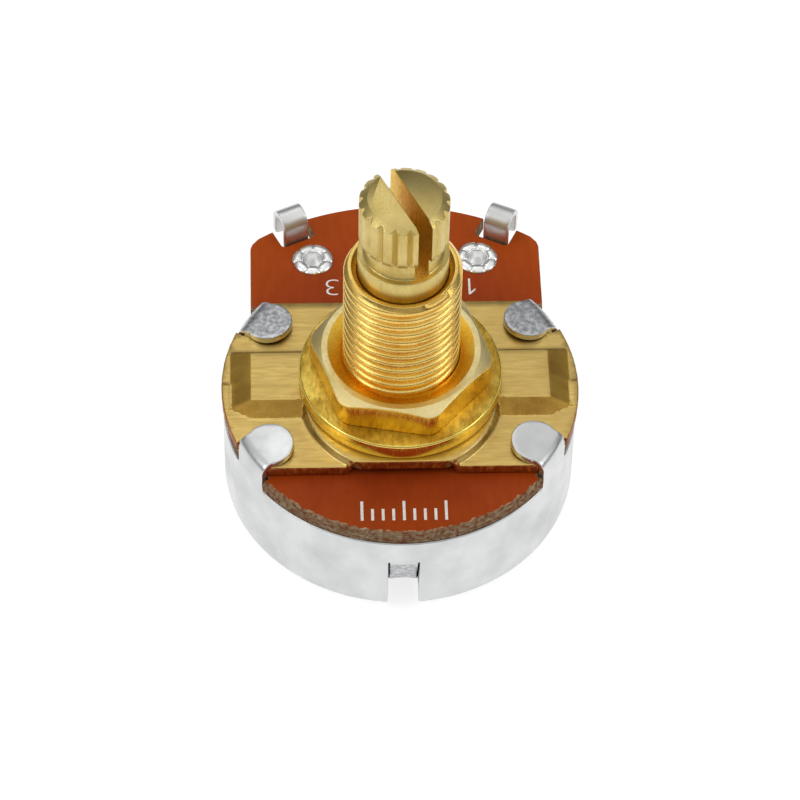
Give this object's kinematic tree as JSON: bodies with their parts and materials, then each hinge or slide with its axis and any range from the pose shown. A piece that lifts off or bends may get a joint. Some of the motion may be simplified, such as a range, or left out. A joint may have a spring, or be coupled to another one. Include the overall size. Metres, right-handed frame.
{
  "type": "rotary potentiometer",
  "caption": "Round panel-mount potentiometer: steel can, laminate element board with hook terminals, plated plate, threaded bushing, washer, hex nut and split splined shaft.",
  "frame": {"origin": "where the shaft's axis meets the flat back of the can", "axes": "+Z along the shaft towards its tip, +Y from the shaft towards the solder terminals"},
  "size_m": [0.0242, 0.0294, 0.028],
  "materials": {
    "tinned_steel": "satin",
    "laminate": "matte",
    "carbon_film": "matte",
    "silver_film": "matte",
    "tinned_brass": "bright",
    "gold_plate": "satin",
    "bright_gold": "bright",
    "satin_brass": "satin",
    "spring_steel": "satin",
    "moulding": "matte",
    "spring_bronze": "satin"
  },
  "bodies": {
    "housing": {"can_cover": "tinned_steel", "element_board": "laminate", "carbon_track": "carbon_film", "end_leads": "silver_film", "collector_ring": "silver_film", "terminal_1": "tinned_brass", "terminal_2": "tinned_brass", "terminal_3": "tinned_brass", "eyelet_1": "tinned_brass", "eyelet_2": "tinned_brass", "eyelet_3": "tinned_brass", "mounting_plate": "gold_plate", "bushing": "bright_gold", "flat_washer": "bright_gold", "hex_nut": "bright_gold", "thrust_washer": "spring_steel"},
    "rotor": {"shaft": "satin_brass", "retaining_ring": "spring_steel", "rotor_disc": "moulding", "stop_plate": "spring_steel", "wiper_spring": "spring_bronze"}
  },
  "joints": [
    {"name": "shaft_turn", "type": "hinge", "parent": "housing", "child": "rotor", "pos_m": [0, 0, 0.012], "axis": [0, 0, 1], "range_deg": [-176, 124]}
  ]
}
